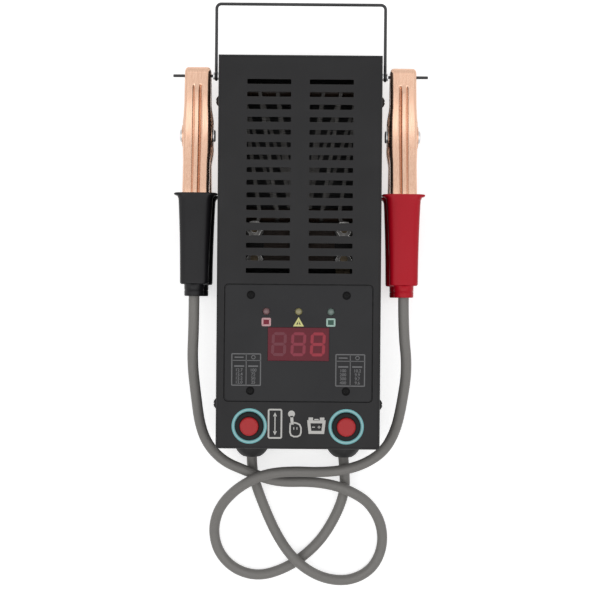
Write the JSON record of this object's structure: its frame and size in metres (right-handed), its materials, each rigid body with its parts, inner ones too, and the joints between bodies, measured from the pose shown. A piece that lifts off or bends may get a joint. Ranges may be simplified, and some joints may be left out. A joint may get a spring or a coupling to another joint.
{
  "type": "battery tester",
  "caption": "Hand-held battery load tester: vented steel case, display, push buttons, wire bail, and a black and a red jaw clamp parked on the case sides, on grey cables.",
  "frame": {"origin": "middle of the case's flat back face, on the surface that the tester lies on", "axes": "+X to the right of the front panel, +Y towards the carrying bail, +Z out of the front panel"},
  "size_m": [0.1768, 0.4117, 0.0748],
  "materials": {
    "case_coat": "satin powder coat",
    "overlay_film": "satin",
    "red_lens": "clear red",
    "display_face": "matte",
    "black_screws": "black oxide",
    "zinc_steel": "bright",
    "spring_steel": "bright",
    "copper": "copper plated",
    "black_sleeve": "satin",
    "red_sleeve": "satin",
    "grey_cable": "satin",
    "black_rubber": "matte",
    "black_bezel": "semi gloss",
    "red_cap": "semi gloss",
    "red_lamp": "translucent",
    "yellow_lamp": "translucent",
    "green_lamp": "translucent",
    "circuit_board": "solder mask",
    "board_parts": "matte",
    "ceramic": "brown glaze",
    "phenolic": "matte",
    "nichrome": "dull",
    "brass": "bright",
    "relay_case": "satin"
  },
  "bodies": {
    "root": {"board_components": "board_parts", "board_nuts": "zinc_steel", "board_standoffs": "zinc_steel", "bracket_screws": "zinc_steel", "button_nuts": "black_bezel", "ceramic_rods": "ceramic", "clamp_rest_rod": "zinc_steel", "display_module": "display_face", "display_window": "red_lens", "front_cover": "case_coat", "green_lamp": "green_lamp", "lead_lugs": "zinc_steel", "left_button_housing": "black_bezel", "left_button_spring": "spring_steel", "left_cable": "grey_cable", "left_cable_gland": "black_rubber", "left_front_jaw": "copper", "left_front_sleeve": "black_sleeve", "left_inner_lead": "grey_cable", "left_lead_end": "copper", "left_load_element": "nichrome", "left_rivet": "zinc_steel", "left_spring": "spring_steel", "load_relay": "relay_case", "main_board": "circuit_board", "panel_overlay": "overlay_film", "panel_screws": "black_screws", "rear_chassis": "case_coat", "red_lamp": "red_lamp", "relay_bracket": "zinc_steel", "right_button_housing": "black_bezel", "right_button_spring": "spring_steel", "right_cable": "grey_cable", "right_cable_gland": "black_rubber", "right_front_jaw": "copper", "right_front_sleeve": "red_sleeve", "right_inner_lead": "grey_cable", "right_lead_end": "copper", "right_load_element": "nichrome", "right_rivet": "zinc_steel", "right_spring": "spring_steel", "rod_posts": "phenolic", "rod_washers": "zinc_steel", "side_screws": "black_screws", "terminal_bars": "black_screws", "terminal_board": "phenolic", "terminal_nuts": "zinc_steel", "terminal_studs": "brass", "yellow_lamp": "yellow_lamp"},
    "bail": {"bail_handle": "zinc_steel"},
    "left_button": {"left_button_cap": "red_cap"},
    "right_button": {"right_button_cap": "red_cap"},
    "left_clamp_rear": {"left_rear_jaw": "copper", "left_rear_sleeve": "black_sleeve", "left_spring_arm": "spring_steel"},
    "right_clamp_rear": {"right_rear_jaw": "copper", "right_rear_sleeve": "red_sleeve", "right_spring_arm": "spring_steel"}
  },
  "joints": [
    {"name": "bail_swing", "type": "hinge", "parent": "root", "child": "bail", "pos_m": [0, 0.1229, 0.035], "axis": [1, 0, 0], "range_deg": [-40, 130]},
    {"name": "left_button_press", "type": "slide", "parent": "root", "child": "left_button", "axis": [0, 0, 1], "range_m": [-0.003, 0], "stiffness_N_per_m": 300, "springref_m": 0.004, "deforming": ["left_button_spring"]},
    {"name": "left_clamp_open", "type": "hinge", "parent": "root", "child": "left_clamp_rear", "pos_m": [-0.071, 0.0813, 0.035], "axis": [-1, 0, 0], "range_deg": [0, 15], "stiffness_Nm_per_rad": 2, "springref_deg": -45.84},
    {"name": "right_button_press", "type": "slide", "parent": "root", "child": "right_button", "axis": [0, 0, 1], "range_m": [-0.003, 0], "stiffness_N_per_m": 300, "springref_m": 0.004, "deforming": ["right_button_spring"]},
    {"name": "right_clamp_open", "type": "hinge", "parent": "root", "child": "right_clamp_rear", "pos_m": [0.071, 0.0813, 0.035], "axis": [-1, 0, 0], "range_deg": [0, 15], "stiffness_Nm_per_rad": 2, "springref_deg": -45.84}
  ]
}
